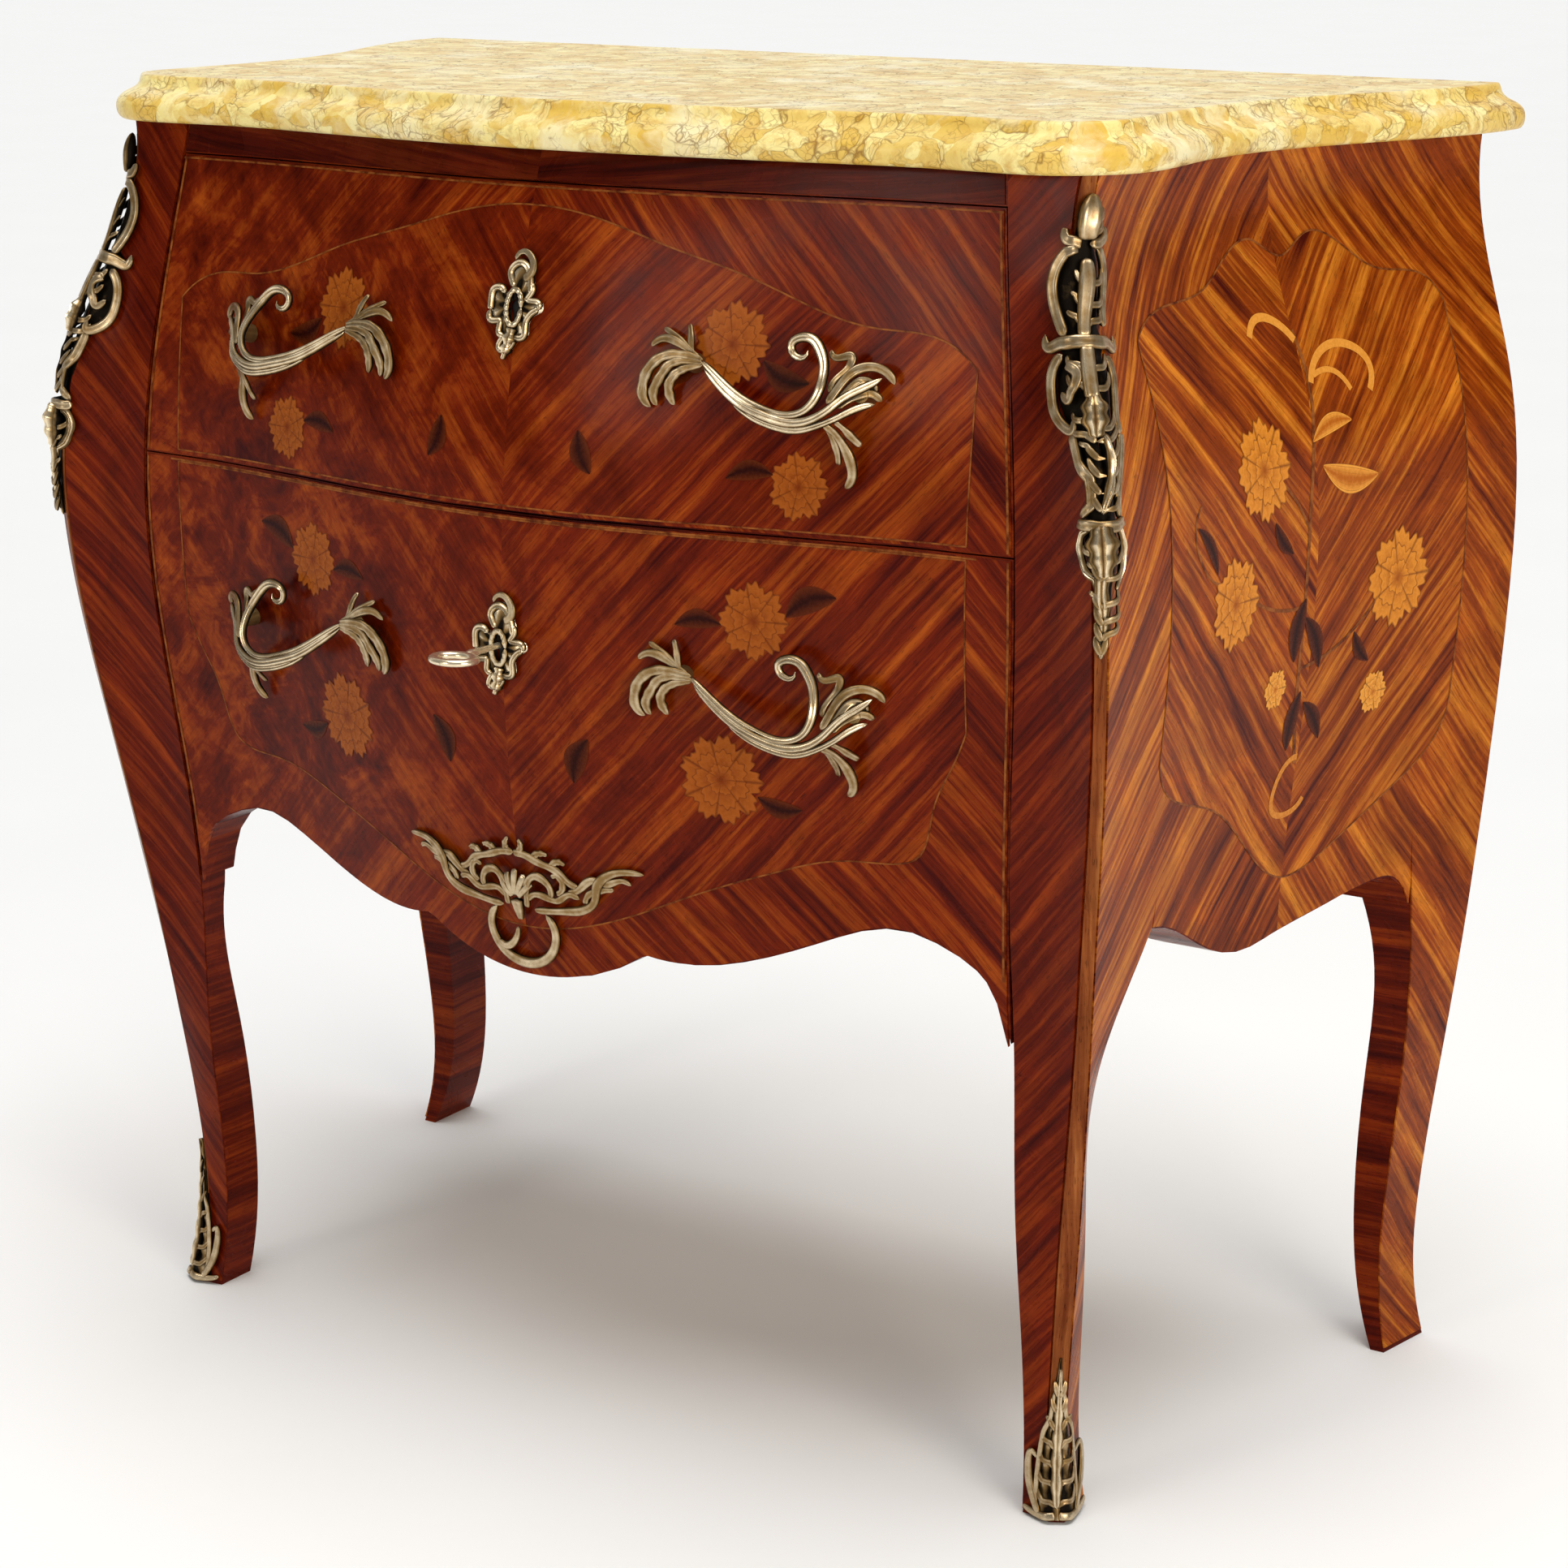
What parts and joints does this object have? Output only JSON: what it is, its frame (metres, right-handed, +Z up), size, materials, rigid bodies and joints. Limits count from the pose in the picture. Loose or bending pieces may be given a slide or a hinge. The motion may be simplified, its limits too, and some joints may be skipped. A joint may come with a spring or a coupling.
{
  "type": "commode chest",
  "caption": "Bombe commode on cabriole legs with a shaped marble top, sliding veneered drawers, gilt pulls and corner mounts, working lock bolts and a turning key.",
  "frame": {"origin": "on the floor in the middle of the bounding box", "axes": "+X to the right as seen from the front, -Y out of the front, +Z up"},
  "size_m": [0.9322, 0.5566, 0.86],
  "materials": {
    "marble": "polished, veined",
    "veneer": "french polished",
    "oak": "bare, aged",
    "softwood": "bare, aged",
    "gilt_brass": "antique gilt",
    "iron": "dark, worn"
  },
  "bodies": {
    "carcass": {"back_leg_left": "oak", "back_leg_right": "oak", "back_panel_lower": "softwood", "back_panel_upper": "softwood", "back_rail_bottom": "oak", "back_rail_middle": "oak", "back_rail_top": "oak", "bottom_front_rail": "oak", "corner_mount_left": "gilt_brass", "corner_mount_right": "gilt_brass", "dust_board_lower": "softwood", "dust_board_upper": "softwood", "front_leg_left": "veneer", "front_leg_right": "veneer", "guide_lower_left": "oak", "guide_lower_right": "oak", "guide_upper_left": "oak", "guide_upper_right": "oak", "marble_top": "marble", "middle_front_rail": "oak", "runner_lower_left": "oak", "runner_lower_right": "oak", "runner_upper_left": "oak", "runner_upper_right": "oak", "sabot_left": "gilt_brass", "sabot_right": "gilt_brass", "side_panel_left": "veneer", "side_panel_right": "veneer", "top_front_rail": "veneer", "top_side_rail_left": "oak", "top_side_rail_right": "oak"},
    "drawer_upper": {"drawer_upper_back": "oak", "drawer_upper_bottom": "softwood", "drawer_upper_escutcheon": "gilt_brass", "drawer_upper_front": "veneer", "drawer_upper_handle_bolts": "iron", "drawer_upper_handle_left": "gilt_brass", "drawer_upper_handle_right": "gilt_brass", "drawer_upper_lock_case": "iron", "drawer_upper_side_left": "oak", "drawer_upper_side_right": "oak"},
    "drawer_lower": {"apron_mount": "gilt_brass", "drawer_lower_back": "oak", "drawer_lower_bottom": "softwood", "drawer_lower_escutcheon": "gilt_brass", "drawer_lower_front": "veneer", "drawer_lower_handle_bolts": "iron", "drawer_lower_handle_left": "gilt_brass", "drawer_lower_handle_right": "gilt_brass", "drawer_lower_lock_case": "iron", "drawer_lower_side_left": "oak", "drawer_lower_side_right": "oak"},
    "upper_bolt": {"drawer_upper_lock_bolt": "iron"},
    "lower_bolt": {"drawer_lower_lock_bolt": "iron"},
    "key": {"lower_key": "iron"}
  },
  "joints": [
    {"name": "drawer_upper_slide", "type": "slide", "parent": "carcass", "child": "drawer_upper", "axis": [0, -1, 0], "range_m": [0, 0.28]},
    {"name": "drawer_lower_slide", "type": "slide", "parent": "carcass", "child": "drawer_lower", "axis": [0, -1, 0], "range_m": [0, 0.28]},
    {"name": "upper_bolt_slide", "type": "slide", "parent": "drawer_upper", "child": "upper_bolt", "axis": [0, 0, 1], "range_m": [0, 0.012]},
    {"name": "key_turn", "type": "hinge", "parent": "drawer_lower", "child": "key", "pos_m": [0, -0.21969, 0.531], "axis": [0, -1, 0], "range_deg": [0, 180]},
    {"name": "lower_bolt_slide", "type": "slide", "parent": "drawer_lower", "child": "lower_bolt", "axis": [0, 0, 1], "range_m": [0, 0.0135]}
  ],
  "couplings": [
    {"joint": "lower_bolt_slide", "follows": "key_turn", "m_per_rad": 0.0038197}
  ]
}
